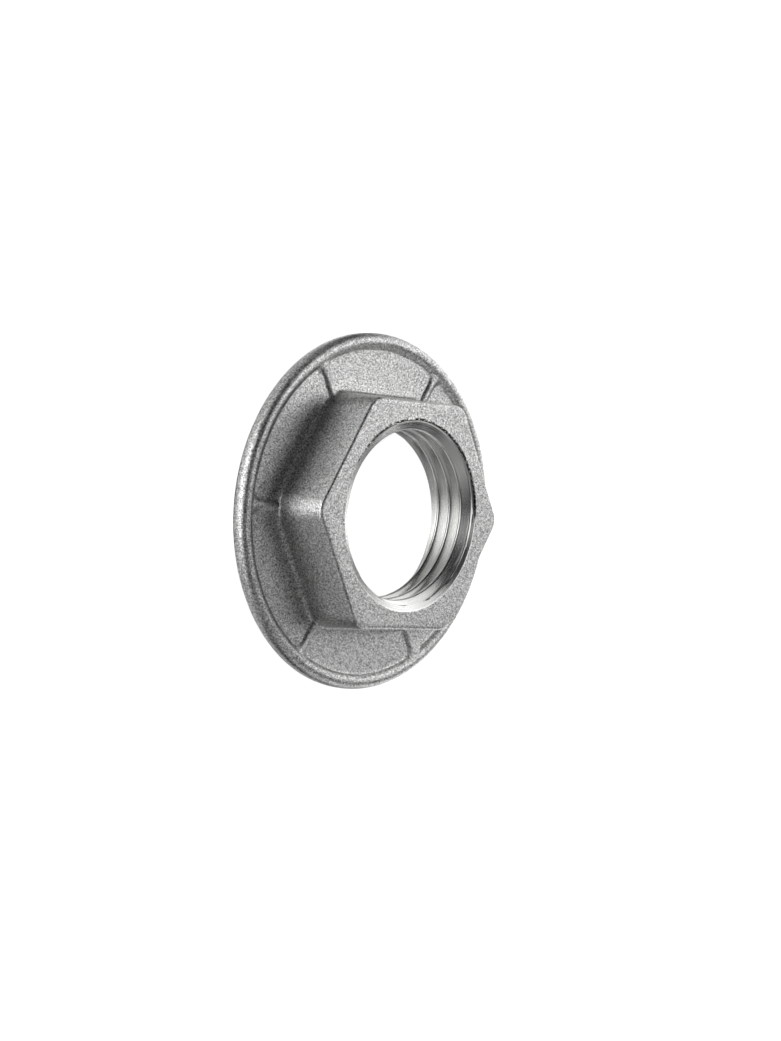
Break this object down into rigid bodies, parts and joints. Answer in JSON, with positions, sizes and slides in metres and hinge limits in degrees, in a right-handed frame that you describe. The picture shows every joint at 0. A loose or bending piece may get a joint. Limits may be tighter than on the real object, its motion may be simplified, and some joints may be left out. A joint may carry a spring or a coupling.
{
  "type": "flanged lock nut",
  "caption": "Forged hexagon lock nut on a round ribbed flange with a beaded rim, with a pipe thread through its bore, to clamp a threaded tail to a panel.",
  "frame": {"origin": "centre of the bore, on the flange's back face", "axes": "+Z along the bore's axis from the flange to the hexagon's front face, +X through a corner of the hexagon"},
  "size_m": [0.0316, 0.0316, 0.0062],
  "materials": {
    "nickel_plated_brass": "nickel plated: matt and grainy where it was shot-blasted, bright where the thread was cut"
  },
  "bodies": {
    "root": {"lock_nut": "nickel_plated_brass"}
  },
  "joints": []
}
